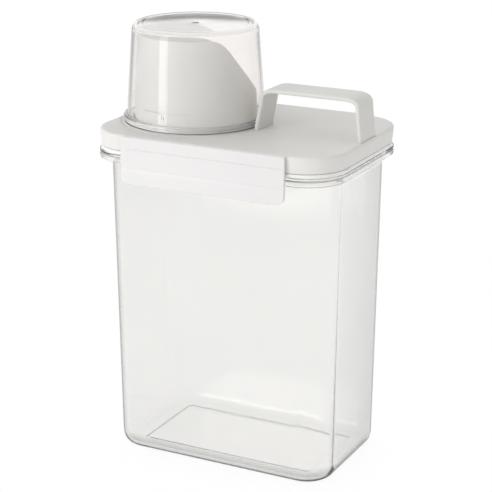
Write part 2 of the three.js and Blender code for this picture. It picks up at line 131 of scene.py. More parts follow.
def loft(rings: Sequence[Points], looped: bool = False) -> Mesh:
    """Skins a stack of rings that all have the same number of points.

    Args:
        rings: The rings in order.
        looped: Joins the last ring to the first; otherwise both ends are capped.
    """
    bm = bmesh.new()
    rows = [[bm.verts.new(point) for point in ring] for ring in rings]
    sides = len(rows[0])
    pairs = list(zip(rows, rows[1:])) + ([(rows[-1], rows[0])] if looped else [])
    for low, high in pairs:
        for i in range(sides):
            j = (i + 1) % sides
            bm.faces.new((low[i], low[j], high[j], high[i]))
    if not looped:
        bm.faces.new(list(reversed(rows[0])))
        bm.faces.new(rows[-1])
    return bm


def rounded_ring(station: Station, steps: int = 12) -> Points:
    """Draws a level rounded rectangle.

    Args:
        station: Half length, half depth, corner radius and height.
        steps: Facets in each corner.
    """
    half_length, half_depth, corner, z = station
    x, y = half_length - corner, half_depth - corner
    ring: Points = []
    for turn, (cx, cy) in enumerate(((x, -y), (x, y), (-x, y), (-x, -y))):
        for i in range(steps + 1):
            angle = (turn - 1 + i / steps) * math.pi / 2
            ring.append(Vector((cx + corner * math.cos(angle), cy + corner * math.sin(angle), z)))
    return ring


def block(name: str, half: Pair, corner: float, middle: Pair, heights: Pair) -> Piece:
    """Makes an upright block with rounded corners.

    Args:
        name: Name of the object.
        half: Half its length and half its depth.
        corner: Its corners' radius.
        middle: Where its middle stands along X and Y.
        heights: Its lower and upper ends.
    """
    across = Vector((*middle, 0))
    rings = [[point + across for point in rounded_ring((*half, corner, z), 5)] for z in heights]
    return mesh_object(name, loft(rings))


def quarter_round(radius: float, along: float) -> float:
    """How far a rounded edge stands in from its corner, at a distance along from the corner."""
    return radius - math.sqrt(max(radius ** 2 - max(radius - along, 0) ** 2, 0))


def turned(profile: Sequence[Station], centre: float, steps: int = 168,
           looped: bool = False) -> Mesh:
    """Skins a body turned about the vertical line through (centre, 0).

    Args:
        profile: Radius and height of each point, in order.
        centre: Where the line stands along X.
        steps: Facets round the body.
        looped: Whether the profile closes on itself; otherwise it starts and ends on the axis.
    """
    rings = []
    for radius, z in profile:
        at = max(radius, AXIS_RADIUS)
        angles = (2 * math.pi * i / steps for i in range(steps))
        rings.append([Vector((centre + at * math.cos(a), at * math.sin(a), z)) for a in angles])
    return loft(rings, looped)


def cut(obj: Piece, tool: Piece, how: str = "DIFFERENCE") -> None:
    """Cuts a tool out of an object, or joins it on, and removes the tool."""
    modifier = obj.modifiers.new("cut", "BOOLEAN")
    modifier.operation, modifier.solver, modifier.object = how, "EXACT", tool
    graph = bpy.context.evaluated_depsgraph_get()
    mesh = bpy.data.meshes.new_from_object(obj.evaluated_get(graph))
    obj.modifiers.clear()
    obj.data = mesh
    bpy.data.objects.remove(tool)
    mesh.set_sharp_from_angle(angle=math.radians(SHARP_DEG))


# ------------------------------------------------------------------ shader node groups

# Values of a noise, or of a slope or height, between which a mask goes from none to full.
MOTTLE_BAND = (0.3, 0.7)
WEAR_PATCH_BAND = (0.4, 0.62)
HAIRLINE_BAND = (0.62, 0.7)
SMUDGE_BAND = (0.45, 0.75)
# Where clear plastic gets painted shade: on upright walls, stronger towards the floor round the
# foot, fading out under the rim, and on faces that look outwards.
UPRIGHT_BAND = (0.75, 0.25)
FOOT_SHADE_BAND = (11 * MM, 4 * MM)
EDGE_SHADE_FADE = 2 * MM
NEAR_WALL = 5 * MM

HAIRLINE_STRETCH = (0.12, 1.0, 6.0)
HAIRLINE_TURN = (0.35, 0.6, 0.2)


class Skin(Enum):
    """Shared effects, each a shader node group."""

    GRAIN = "moulded_grain"
    WEAR = "edge_wear"
    MARKS = "handling_marks"


def new_group(skin: Skin, inputs: dict[str, float], outputs: Sequence[str]) -> Tree:
    """Empty shader group with float sockets and its input and output nodes."""
    tree = bpy.data.node_groups.new(skin.value, "ShaderNodeTree")
    for name, value in inputs.items():
        socket = tree.interface.new_socket(name=name, in_out="INPUT", socket_type="NodeSocketFloat")
        socket.default_value = value
    for name in outputs:
        tree.interface.new_socket(name=name, in_out="OUTPUT", socket_type="NodeSocketFloat")
    tree.nodes.new("NodeGroupInput")
    tree.nodes.new("NodeGroupOutput")
    return tree


def noise(tree: Tree, scale: Socket, detail: float, roughness: float = 0.5) -> Node:
    """Adds a noise texture in object coordinates; its detail is in octaves."""
    node, where = tree.nodes.new("ShaderNodeTexNoise"), tree.nodes.new("ShaderNodeTexCoord")
    node.inputs["Detail"].default_value = detail
    node.inputs["Roughness"].default_value = roughness
    tree.links.new(scale, node.inputs["Scale"])
    tree.links.new(where.outputs["Object"], node.inputs["Vector"])
    return node


def map_range(tree: Tree, value: Socket, low: float = 0.0, high: float = 1.0,
              to_low: float = 0.0, to_high: float = 1.0) -> Socket:
    """Maps a value, so that low gives to_low and high gives to_high."""
    node = tree.nodes.new("ShaderNodeMapRange")
    for name, limit in (("From Min", low), ("From Max", high),
                        ("To Min", to_low), ("To Max", to_high)):
        node.inputs[name].default_value = limit
    tree.links.new(value, node.inputs["Value"])
    return node.outputs["Result"]


def math_node(tree: Tree, how: str, *values: Socket | float) -> Socket:
    """Adds a math node; each value is a socket or a number."""
    node = tree.nodes.new("ShaderNodeMath")
    node.operation = how
    for socket, value in zip(node.inputs, values):
        if isinstance(value, Socket):
            tree.links.new(value, socket)
        else:
            socket.default_value = value
    return node.outputs["Value"]


def build_grain() -> Tree:
    """Builds the fine moulded texture, as a height, and a slow mottle over the whole moulding."""
    scales = {"Grain Scale": 2600.0, "Mottle Scale": 26.0}
    tree = new_group(Skin.GRAIN, scales, ("Height", "Mottle"))
    enter, leave = tree.nodes["Group Input"], tree.nodes["Group Output"]
    fine = noise(tree, enter.outputs["Grain Scale"], 2.0, 0.6)
    slow = noise(tree, enter.outputs["Mottle Scale"], 3.0)
    tree.links.new(fine.outputs["Fac"], leave.inputs["Height"])
    tree.links.new(map_range(tree, slow.outputs["Fac"], *MOTTLE_BAND), leave.inputs["Mottle"])
    return tree


def build_wear() -> Tree:
    """Builds the mask of edges that hands and shelves polish, broken up by noise."""
    tree = new_group(Skin.WEAR, {"Start": 0.53, "Full": 0.62, "Break Scale": 240.0}, ("Mask",))
    enter, leave = tree.nodes["Group Input"], tree.nodes["Group Output"]
    shape = tree.nodes.new("ShaderNodeNewGeometry")
    edge = map_range(tree, shape.outputs["Pointiness"])
    tree.links.new(enter.outputs["Start"], edge.node.inputs["From Min"])
    tree.links.new(enter.outputs["Full"], edge.node.inputs["From Max"])
    patches = noise(tree, enter.outputs["Break Scale"], 4.0)
    broken = map_range(tree, patches.outputs["Fac"], *WEAR_PATCH_BAND)
    tree.links.new(math_node(tree, "MULTIPLY", edge, broken), leave.inputs["Mask"])
    return tree


def build_marks() -> Tree:
    """Builds the masks of faint hairlines and smudges from handling."""
    scales = {"Hairline Scale": 90.0, "Smudge Scale": 14.0}
    tree = new_group(Skin.MARKS, scales, ("Hairlines", "Smudges"))
    enter, leave = tree.nodes["Group Input"], tree.nodes["Group Output"]
    lines = noise(tree, enter.outputs["Hairline Scale"], 6.0, 0.75)
    stretch = tree.nodes.new("ShaderNodeMapping")
    stretch.inputs["Scale"].default_value = HAIRLINE_STRETCH
    stretch.inputs["Rotation"].default_value = HAIRLINE_TURN
    tree.links.new(lines.inputs["Vector"].links[0].from_socket, stretch.inputs["Vector"])
    tree.links.new(stretch.outputs["Vector"], lines.inputs["Vector"])
    tree.links.new(map_range(tree, lines.outputs["Fac"], *HAIRLINE_BAND), leave.inputs["Hairlines"])
    smudge = noise(tree, enter.outputs["Smudge Scale"], 2.0)
    tree.links.new(map_range(tree, smudge.outputs["Fac"], *SMUDGE_BAND), leave.inputs["Smudges"])
    return tree


GROUP_BUILDERS: dict[Skin, Callable[[], Tree]] = {
    Skin.GRAIN: build_grain, Skin.WEAR: build_wear, Skin.MARKS: build_marks,
}


def skin_group(skin: Skin) -> Tree:
    """The shared group, built on first use."""
    return bpy.data.node_groups.get(skin.value) or GROUP_BUILDERS[skin]()


# ------------------------------------------------------------------ finishes


@dataclass(frozen=True)
class Finish:
    """A moulded plastic: its colours, gloss and how strongly each shared effect shows.

    The edge-on values belong to clear plastic: the colour of the painted shade where a near wall
    is seen edge on, where that shade starts and is full, the height that it ends at, its share
    as painted shade round the foot, and the tint of the light that passes through.
    """

    name: str
    slot: str
    colour: Colour
    mottle_colour: Colour
    wear_colour: Colour
    roughness: float
    mottle_roughness: float = 0.06
    grain_scale: float = 2600.0
    grain_depth: float = 0.00002
    grain_strength: float = 0.15
    transmission: float = 0.0
    ior: float = 1.49
    subsurface: float = 0.0
    subsurface_depth: float = 2.5 * MM
    # Painted shade: the dark colour that clear plastic is mixed towards where a near wall is seen
    # edge on, and round its foot.
    edge_on_shade_colour: Colour = (0.03, 0.03, 0.03)
    edge_on_shade_start: float = 0.42
    edge_on_shade_full: float = 0.82
    edge_on_shade_top: float = 1.0
    foot: float = 0.0
    passing: Colour = (0.93, 0.93, 0.925)
    bleed: Colour = (1.0, 0.95, 0.9)
    hairline_share: float = 0.6
    smudge_share: float = 0.5

    def material(self) -> bpy.types.Material:
        """Builds the node material for this finish."""
        found = bpy.data.materials.get(self.name)
        if found:
            return found
        material = bpy.data.materials.new(self.name)
        material.use_nodes = True
        tree = material.node_tree
        shader = tree.nodes["Principled BSDF"]
        shader.inputs["Metallic"].default_value = 0.0
        shader.inputs["IOR"].default_value = self.ior
        shader.inputs["Transmission Weight"].default_value = self.transmission
        shader.inputs["Subsurface Weight"].default_value = self.subsurface
        shader.inputs["Subsurface Radius"].default_value = self.bleed
        shader.inputs["Subsurface Scale"].default_value = self.subsurface_depth
        grain = self._group(tree, Skin.GRAIN)
        grain.inputs["Grain Scale"].default_value = self.grain_scale
        wear, marks = self._group(tree, Skin.WEAR), self._group(tree, Skin.MARKS)
        mottled = self._mix(tree, grain.outputs["Mottle"], self.colour, self.mottle_colour)
        worn_and_shaded = self._mix(tree, wear.outputs["Mask"], mottled, self.wear_colour)
        if self.transmission:
            # Painted shade: clear plastic darkens to its edge-on colour where a near wall is seen
            # edge on and round its foot.
            worn_and_shaded = self._mix(tree, self._painted_edge_shade(tree), worn_and_shaded, self.edge_on_shade_colour)
            self._pass_lamps(tree, shader)
        tree.links.new(worn_and_shaded, shader.inputs["Base Color"])
        tree.links.new(self._roughness(tree, grain, marks), shader.inputs["Roughness"])
        bump = tree.nodes.new("ShaderNodeBump")
        bump.inputs["Strength"].default_value = self.grain_strength
        bump.inputs["Distance"].default_value = self.grain_depth
        tree.links.new(grain.outputs["Height"], bump.inputs["Height"])
        tree.links.new(bump.outputs["Normal"], shader.inputs["Normal"])
        return material

    def _group(self, tree: Tree, skin: Skin) -> Node:
        """Places a shared group in the material."""
        node = tree.nodes.new("ShaderNodeGroup")
        node.node_tree = skin_group(skin)
        return node

    def _mix(self, tree: Tree, factor: Socket, first: Socket | Colour, second: Colour) -> Socket:
        """Mixes two colours by a mask."""
        node = tree.nodes.new("ShaderNodeMix")
        node.data_type = "RGBA"
        tree.links.new(factor, node.inputs["Factor"])
        if isinstance(first, Socket):
            tree.links.new(first, node.inputs["A"])
        else:
            node.inputs["A"].default_value = (*first, 1.0)
        node.inputs["B"].default_value = (*second, 1.0)
        return node.outputs["Result"]

    def _painted_edge_shade(self, tree: Tree) -> Socket:
        """Builds the mask of painted shade: it rises where a near wall is seen edge on, and round
        the walls' foot.
        """
        layer = tree.nodes.new("ShaderNodeLayerWeight")
        layer.inputs["Blend"].default_value = 0.5
        edge = map_range(tree, layer.outputs["Facing"], self.edge_on_shade_start, self.edge_on_shade_full)
        edge.node.interpolation_type = "SMOOTHSTEP"
        shape, where = tree.nodes.new("ShaderNodeNewGeometry"), tree.nodes.new("ShaderNodeTexCoord")
        lean = tree.nodes.new("ShaderNodeSeparateXYZ")
        height = tree.nodes.new("ShaderNodeSeparateXYZ")
        outward = tree.nodes.new("ShaderNodeVectorMath")
        outward.operation = "DOT_PRODUCT"
        tree.links.new(shape.outputs["Normal"], lean.inputs["Vector"])
        tree.links.new(where.outputs["Object"], height.inputs["Vector"])
        tree.links.new(shape.outputs["Normal"], outward.inputs[0])
        tree.links.new(where.outputs["Object"], outward.inputs[1])
        # Painted shade round the foot, stronger towards the floor.
        low = map_range(tree, height.outputs["Z"], *FOOT_SHADE_BAND, to_high=self.foot)
        mask = math_node(tree, "MAXIMUM", edge, low)
        for value, start, full in ((lean.outputs["Z"], *UPRIGHT_BAND),
                                   (height.outputs["Z"], self.edge_on_shade_top, self.edge_on_shade_top - EDGE_SHADE_FADE),
                                   (outward.outputs["Value"], 0.0, NEAR_WALL)):
            mask = math_node(tree, "MULTIPLY", mask, map_range(tree, value, start, full))
        return mask

    def _pass_lamps(self, tree: Tree, shader: Node) -> None:
        """Lets lamp light through the clear plastic, a little tinted."""
        path = tree.nodes.new("ShaderNodeLightPath")
        open_way = tree.nodes.new("ShaderNodeBsdfTransparent")
        open_way.inputs["Color"].default_value = (*self.passing, 1.0)
        mix = tree.nodes.new("ShaderNodeMixShader")
        tree.links.new(path.outputs["Is Shadow Ray"], mix.inputs[0])
        tree.links.new(shader.outputs["BSDF"], mix.inputs[1])
        tree.links.new(open_way.outputs["BSDF"], mix.inputs[2])
        tree.links.new(mix.outputs["Shader"], tree.nodes["Material Output"].inputs["Surface"])

    def _roughness(self, tree: Tree, grain: Node, marks: Node) -> Socket:
        """Builds a roughness that wanders with the mottle and rises along hairlines and smudges."""
        total = map_range(tree, grain.outputs["Mottle"], to_low=self.roughness,
                          to_high=self.roughness + self.mottle_roughness)
        for output, share in (("Hairlines", self.hairline_share), ("Smudges", self.smudge_share)):
            depth = self.mottle_roughness * share
            total = math_node(tree, "MULTIPLY_ADD", marks.outputs[output], depth, total)
        return total


# Its edge-on colour, near black, is painted shade on the near upright walls and, at half strength,
# round the foot.
CLEAR_BODY = Finish(
    "container_polymer", "clear_body",
    (0.922, 0.919, 0.908), (0.914, 0.911, 0.90), (0.90, 0.90, 0.89),
    roughness=0.05, mottle_roughness=0.03, grain_strength=0.02, transmission=1.0, ior=1.46,
    edge_on_shade_start=0.52, edge_on_shade_full=0.86, edge_on_shade_top=191 * MM, foot=0.5)
# Its edge-on colour, a mid grey, is painted shade where the cup's near wall is seen edge on.
CLEAR_CUP = Finish(
    "cup_polymer", "clear_cup", (0.975, 0.955, 0.94), (0.97, 0.95, 0.935), (0.95, 0.93, 0.92),
    roughness=0.04, mottle_roughness=0.02, grain_strength=0.01, transmission=1.0, ior=1.35,
    edge_on_shade_start=0.6, edge_on_shade_full=1.0, edge_on_shade_colour=(0.3, 0.3, 0.3))
WHITE_LID = Finish(
    "lid_satin", "white_lid", (0.80, 0.79, 0.762), (0.785, 0.775, 0.747), (0.86, 0.855, 0.84),
    roughness=0.42, subsurface=0.15)
WHITE_LATCH = Finish(
    "latch_satin", "white_latch", (0.80, 0.788, 0.785), (0.785, 0.773, 0.77), (0.87, 0.865, 0.86),
    roughness=0.38, subsurface=0.15)
WHITE_HANDLE = Finish(
    "handle_satin", "white_handle", (0.75, 0.744, 0.72), (0.735, 0.73, 0.705), (0.94, 0.935, 0.92),
    roughness=0.38, subsurface=0.3)
WHITE_SPOUT = Finish(
    "spout_gloss", "white_spout", (0.74, 0.75, 0.74), (0.73, 0.74, 0.73), (0.80, 0.81, 0.80),
    roughness=0.36, mottle_roughness=0.05, grain_strength=0.06,
    subsurface=1.0, subsurface_depth=14 * MM)
SILICONE = Finish(
    "gasket_rubber", "silicone_seal", (0.92, 0.92, 0.90), (0.90, 0.90, 0.88), (0.95, 0.95, 0.94),
    roughness=0.5, subsurface=0.3)
# Its grey, darker than the gasket's, is painted shade: it stands in for the dark band round the
# spout's foot seen through the cup's collar.
CUP_SEAL_SHADED = Finish(
    "cup_seal_shaded_rubber", "silicone_seal", (0.76, 0.765, 0.78), (0.72, 0.725, 0.74), (0.8, 0.8, 0.82),
    roughness=0.4, subsurface=0.2)


def dress(obj: Piece, finish: Finish, body: str, *nodes: str) -> Piece:
    """Gives a piece its finish, puts it on its body and has it stand for CAD nodes."""
    obj.data.materials.clear()
    obj.data.materials.append(finish.material())
    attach(obj, body)
    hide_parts(*nodes)
    log.info("%s: %d faces on %s", obj.name, len(obj.data.polygons), body)
    return obj


# ------------------------------------------------------------------ container


@dataclass
class Container:
    """The clear body: drafted walls, rounded base with a raised panel, ridged rim.

    A soft value is the ease of a corner; a pair of them goes in the order of the path. Tighten
    is how much faster the inner corners' radius shrinks than the wall is thick.
    """

    wall: float = 2.2 * MM
    base_round: float = 9.3 * MM
    draft: float = 3.0 * MM
    corner: float = 22.0 * MM
    tighten: float = 1.62
    neck: Pair = (77.7 * MM, 48.9 * MM)
    rim_corner: float = 25.0 * MM
    rim_height: float = 5.4 * MM
    rim_lip: float = 1.7 * MM
    flange: float = 2.6 * MM
    flange_soft: float = 1.4 * MM
    lip_soft: Pair = (0.5 * MM, 0.4 * MM)
    rim_soft: float = 1.0 * MM
    top_soft: Pair = (0.5 * MM, 0.8 * MM)
    groove: float = 0.45 * MM
    groove_up: float = 2.3 * MM
    groove_slope: float = 0.6 * MM
    groove_floor: float = 0.5 * MM
    groove_soft: Pair = (0.9 * MM, 0.5 * MM)
    panel: Pair = (60.0 * MM, 31.2 * MM)
    panel_corner: float = 4.5 * MM
    panel_rise: float = 0.38 * MM
    panel_slope: float = 1.9 * MM
    panel_flat_start: float = 4.0
    panel_soft: float = 0.6 * MM
    panel_least_corner: float = 0.5 * MM
    box: Box = box_field("container")

    def _wall(self, z: float, inset: float = 0.0) -> Station:
        """The wall's outline at a height, moved in by an inset that also tightens its corners."""
        lean = self.draft * (1 - z / self.box[1].z)
        shrink = lean + inset
        corner = self.corner - lean - self.tighten * inset
        return (self.neck[0] - shrink, self.neck[1] - shrink, corner, z)

    def _rim(self, z: float, inset: float) -> Station:
        """The rim's outline at a height, moved in by an inset."""
        high = self.box[1]
        return (high.x - inset, high.y - inset, self.rim_corner - inset / 2, z)

    def _panel(self, z: float, inset: float) -> Station:
        """The base panel's outline at a height, moved in by an inset."""
        corner = max(self.panel_corner - inset, self.panel_least_corner)
        return (self.panel[0] - inset, self.panel[1] - inset, corner, z)

    def _panel_path(self, z: float) -> Path:
        """The base panel's slope, from its middle outwards, over a floor at a height."""
        far = self.panel_flat_start * self.panel_slope
        return [(self._panel(z + self.panel_rise, far), 0),
                (self._panel(z + self.panel_rise, self.panel_slope), self.panel_soft),
                (self._panel(z, 0), self.panel_soft)]

    def _rim_path(self) -> Path:
        """The rim, from under its flange out round its lip and groove to the top's outer edge."""
        top = self.box[1].z
        low, plate = top - self.rim_height, top - self.flange
        start = low + self.groove_up
        floor = start + self.groove_slope
        floor_end = floor + self.groove_floor
        mouth_soft, floor_soft = self.groove_soft
        return [(self._rim(plate, self.rim_lip), self.lip_soft[0]),
                (self._rim(low, self.rim_lip), self.lip_soft[1]),
                (self._rim(low, 0), self.rim_soft),
                (self._rim(start, 0), mouth_soft),
                (self._rim(floor, self.groove), floor_soft),
                (self._rim(floor_end, self.groove), floor_soft),
                (self._rim(floor_end + self.groove_slope, 0), mouth_soft),
                (self._rim(top, 0), self.top_soft[0])]

    def build(self) -> Piece:
        """Lofts the whole shell, outside then inside, as one closed wall."""
        top = self.box[1].z
        outside = [(self._wall(0), self.base_round),
                   (self._wall(top - self.flange), self.flange_soft)]
        inside = [(self._wall(top, self.wall), self.top_soft[1]),
                  (self._wall(self.wall, self.wall), self.base_round - self.wall)]
        path = [*self._panel_path(0), *outside, *self._rim_path(), *inside,
                *reversed(self._panel_path(self.wall))]
        rings = [rounded_ring(station, steps=14) for station in eased(path, steps=7)]
        shell = mesh_object("container_shell", loft(rings))
        return dress(shell, CLEAR_BODY, "container_body", "container")


# ------------------------------------------------------------------ lid and what is fixed to it


@dataclass
class Lid:
    """The white lid with its plug wall, seat for the spout, moat and sockets for the handle."""

    corner: float = 27.0 * MM
    skirt_height: float = 10.4 * MM
    skirt_soft: Pair = (0.5 * MM, 0.4 * MM)
    taper: float = 1.1 * MM
    plate: float = 2.5 * MM
    edge: float = 2.4 * MM
    top_margin: float = 4.0 * MM
    plug: Pair = (74.5 * MM, 45.7 * MM)
    plug_corner: float = 18.8 * MM
    plug_wall: float = 1.8 * MM
    plug_soft: Pair = (0.7 * MM, 0.5 * MM)
    plug_root_soft: float = 1.0 * MM
    under_margin: float = 8.0 * MM
    channel: float = 4.6 * MM
    channel_soft: float = 0.6 * MM
    ledge_half_length: float = 54.7 * MM
    ledge_depth: float = 5.0 * MM
    ledge_chamfer: float = 0.3 * MM
    cad_depth: float = 117.2 * MM
    overrun: float = 1.0 * MM
    socket_depth: float = 1.6 * MM
    socket_corner: float = 0.9 * MM
    strap: float = 2.5 * MM
    seat_depth: float = 1.2 * MM
    seat_ledge: float = 1.8 * MM
    hole_depth: float = 4.0 * MM
    moat_depth: float = 0.7 * MM
    moat_reach: tuple[float, float, float] = (0.2 * MM, 1.6 * MM, 3.6 * MM)
    moat_soft: Pair = (0.3 * MM, 0.8 * MM)
    box: Box = box_field("lid")
    spout_box: Box = box_field("pour_spout")
    cup_box: Box = box_field("measuring_cup")
    handle_box: Box = box_field("handle")

    def _outer(self, z: float, inset: float) -> Station:
        """The lid's outline at a height, moved in by an inset."""
        high = self.box[1]
        return (high.x - inset, self.cad_depth / 2 - inset, self.corner - inset, z)

    def _plug(self, z: float, outset: float) -> Station:
        """The plug wall's outline at a height, moved out by an outset."""
        return (self.plug[0] + outset, self.plug[1] + outset, self.plug_corner + outset, z)

    def _shell(self) -> Piece:
        """Lofts the top, skirt, channel and plug wall."""
        top, bottom = self.box[1].z, self.box[1].z - self.skirt_height
        under, plug_bottom = top - self.plate, self.box[0].z
        path = [
            (self._outer(top, self.top_margin), 0),
            (self._outer(top, 0), self.edge),
            (self._outer(bottom, self.taper), self.skirt_soft[0]),
            (self._plug(bottom, self.channel), self.skirt_soft[1]),
            (self._plug(under, self.channel), self.channel_soft),
            (self._plug(under, 0), self.channel_soft),
            (self._plug(plug_bottom, 0), self.plug_soft[0]),
            (self._plug(plug_bottom, -self.plug_wall), self.plug_soft[1]),
            (self._plug(under, -self.plug_wall), self.plug_root_soft),
            (self._plug(under, -self.under_margin), 0),
        ]
        return mesh_object("lid_shell", loft([rounded_ring(s, steps=16) for s in eased(path)]))

    def _ledge(self, side: int) -> Piece:
        """Strip that carries the top out to a latch's hinge line."""
        top, front, chamfer = self.box[1].z, self.box[1].y, self.ledge_chamfer
        back, under = front - self.ledge_depth, top - self.plate
        section = [(back, under), (front, under), (front, top - chamfer), (front - chamfer, top),
                   (back, top)]
        half = self.ledge_half_length
        rings = [[Vector((x, side * y, z)) for y, z in section] for x in (-half, half)]
        return mesh_object("ledge", loft(rings))

    def _socket(self, low: float, high: float) -> Piece:
        """Pocket for one foot of the handle."""
        half, top = ((high - low) / 2 + GAP, self.handle_box[1].y + GAP), self.box[1].z
        heights = (top - self.socket_depth, top + self.overrun)
        return block("socket", half, self.socket_corner, ((low + high) / 2, 0), heights)

    def _cut_round_spout(self, lid: Piece) -> None:
        """Cuts the spout's seat, the hole through it and the moat round the cup's collar."""
        top = self.box[1].z
        above = top + self.overrun
        centre = (self.spout_box[0].x + self.spout_box[1].x) / 2
        seat = self.spout_box[1].x - centre + GAP
        hole = self.spout_box[1].x - centre - self.seat_ledge
        for name, radius, low, high in (("seat", seat, top - self.seat_depth, above),
                                        ("hole", hole, top - self.hole_depth, top)):
            outline = [(0, low), (radius, low), (radius, high), (0, high)]
            cut(lid, mesh_object(name, turned(outline, centre)))
        near, middle, far = (self.cup_box[1].x - centre + reach for reach in self.moat_reach)
        floor = top - self.moat_depth
        moat = [((near, above), 0), ((near, floor), self.moat_soft[0]),
                ((middle, floor), self.moat_soft[1]), ((far, above), 0)]
        cut(lid, mesh_object("moat", turned(eased(moat), centre, looped=True)))

    def build(self) -> Piece:
        """Builds the shell, then joins the ledges and cuts the seat, moat and sockets."""
        lid = self._shell()
        for side in (-1, 1):
            cut(lid, self._ledge(side), "UNION")
        self._cut_round_spout(lid)
        low, high = self.handle_box[0].x, self.handle_box[1].x
        cut(lid, self._socket(low, low + self.strap))
        cut(lid, self._socket(high - self.strap, high))
        return dress(lid, WHITE_LID, "lid_body", "lid")


@dataclass
class Gasket:
    """Silicone ring between the skirt and the rim, with its rib and pull tab."""

    lid: Lid
    thickness: float = 1.7 * MM
    swell: float = 0.2 * MM
    band_soft: float = 0.3 * MM
    rib: float = 4.8 * MM
    rib_soft: float = 0.8 * MM
    rib_outer: Pair = (0.6 * MM, 0.9 * MM)
    rib_inner: Pair = (0.9 * MM, 0.6 * MM)
    foot_soft: float = 0.4 * MM
    tab_half: float = 3.0 * MM
    tab_corner: float = 0.9 * MM
    tab_thinner: float = 0.3 * MM
    tab_from_side: float = 25.0 * MM
    box: Box = box_field("lid_gasket")

    def _tab(self) -> Piece:
        """Pull tab at the front right corner."""
        low, half = self.box[0].z + self.tab_thinner, self.tab_half
        high = self.box[0].z + self.thickness - self.tab_thinner
        side = self.lid.cad_depth / 2 - self.lid.taper - self.tab_from_side
        middle = (self.box[1].x - half, -side)
        return block("tab", (half, half), self.tab_corner, middle, (low, high))

    def build(self) -> Piece:
        """Lofts the ring's section round the lid and joins the tab."""
        lid, bottom = self.lid, self.box[0].z
        top, inset = bottom + self.thickness, lid.taper - self.swell
        path = [
            (lid._outer(bottom - self.swell, inset), self.band_soft),
            (lid._outer(top + self.swell, inset), self.band_soft),
            (lid._plug(top, lid.channel - self.rib_outer[0]), self.band_soft),
            (lid._plug(top + self.rib, lid.channel - self.rib_outer[1]), self.rib_soft),
            (lid._plug(top + self.rib, self.rib_inner[0]), self.rib_soft),
            (lid._plug(bottom - self.swell, self.rib_inner[1]), self.foot_soft),
        ]
        rings = [rounded_ring(s, 14) for s in eased(path, True)]
        ring = mesh_object("gasket_ring", loft(rings, True))
        cut(ring, self._tab(), "UNION")
        return dress(ring, SILICONE, "lid_body", "lid_gasket")


@dataclass
class Handle:
    """Flat strap arch with softened edges, standing on the lid."""

    strap: float = 2.5 * MM
    lean_left: float = 4.2 * MM
    lean_right: float = 2.2 * MM
    round: float = 9.0 * MM
    bend_up: float = 3.0 * MM
    bend_soft: float = 1.0 * MM
    shoulder_lean: float = 0.7
    shoulder_soft: float = 2.0 * MM
    edge: float = 0.9 * MM
    box: Box = box_field("handle")

    def _leg(self, foot: float, lean: float) -> Path:
        """Path of one leg's middle line as (x, z), from its foot to the corner over it."""
        low, high = self.box
        top = high.z - self.strap / 2
        return [((foot, low.z), 0), ((foot, low.z + self.bend_up), self.bend_soft),
                ((foot + lean * self.shoulder_lean, top - self.round), self.shoulder_soft),
                ((foot + lean, top), self.round)]

    def build(self) -> Piece:
        """Sweeps the strap's rounded section along its line."""
        low, high = self.box
        half = self.strap / 2
        path = self._leg(low.x + half, self.lean_left)
        path += reversed(self._leg(high.x - half, -self.lean_right))
        line = [Vector((x, 0, z)) for x, z in eased(path, steps=10)]
        section = rounded_ring((high.y, half, self.edge, 0), 4)
        rings = []
        for i, point in enumerate(line):
            along = (line[min(i + 1, len(line) - 1)] - line[max(i - 1, 0)]).normalized()
            out = Vector((-along.z, 0, along.x))
            rings.append([point + Vector((0, s.x, 0)) + out * s.y for s in section])
        return dress(mesh_object("handle_strap", loft(rings)), WHITE_HANDLE, "lid_body", "handle")


@dataclass
class Spout:
    """Upright tube whose mouth is cut on a slant with a softened shoulder."""

    wall: float = 1.8 * MM
    top_radius: float = 36.0 * MM
    facing_deg: float = 40.5
    slope_deg: float = 54.5
    cut_low: float = 15.6 * MM
    cut_inset: float = 1.5 * MM
    soften: float = 9.0 * MM
    steps: int = 240
    rows: int = 14
    lip_steps: int = 8
    lid_top: float = field(default_factory=lambda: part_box("lid")[1].z)
    box: Box = box_field("pour_spout")

    @property
    def centre(self) -> float:
        """Where the spout's axis stands along X."""
        return (self.box[0].x + self.box[1].x) / 2

    @property
    def foot_radius(self) -> float:
        """Outer radius at the foot."""
        return (self.box[1].x - self.box[0].x) / 2

    def _mouth(self, angle: float) -> float:
        """Height of the rim at an angle: the lower of slant and top, the corner between eased."""
        reach = self.foot_radius - self.cut_inset
        across = self.top_radius * math.cos(angle - math.radians(self.facing_deg))
        rise = (reach - across) * math.tan(math.radians(self.slope_deg))
        slant = self.lid_top + self.cut_low + rise
        top = self.box[1].z
        blend = max(self.soften - abs(slant - top), 0) / self.soften
        return min(slant, top) - blend * blend * self.soften / 4

    def _radius(self, z: float) -> float:
        """Outer radius of the drafted tube at a height."""
        share = (z - self.box[0].z) / (self.box[1].z - self.box[0].z)
        return self.foot_radius + (self.top_radius - self.foot_radius) * share

    def build(self) -> Piece:
        """Skins the tube between its foot and its slanted, rounded rim."""
        rings: list[Points] = []
        lip, shares = self.wall / 2, [row / self.rows for row in range(self.rows + 1)]
        outside = [(0.0, share) for share in shares]
        rim = [(math.pi * k / self.lip_steps, 1.0) for k in range(1, self.lip_steps)]
        inside = [(math.pi, share) for share in reversed(shares)]
        for turn, share in outside + rim + inside:
            ring = []
            for i in range(self.steps):
                angle = 2 * math.pi * i / self.steps
                foot, mouth = self.box[0].z, self._mouth(angle) - lip
                z = foot + (mouth - foot) * share
                radius = self._radius(z) - lip + lip * math.cos(turn)
                x, y = self.centre + radius * math.cos(angle), radius * math.sin(angle)
                ring.append(Vector((x, y, z + lip * math.sin(turn))))
            rings.append(ring)
        tube = mesh_object("spout_tube", loft(rings, True))
        return dress(tube, WHITE_SPOUT, "lid_body", "pour_spout")


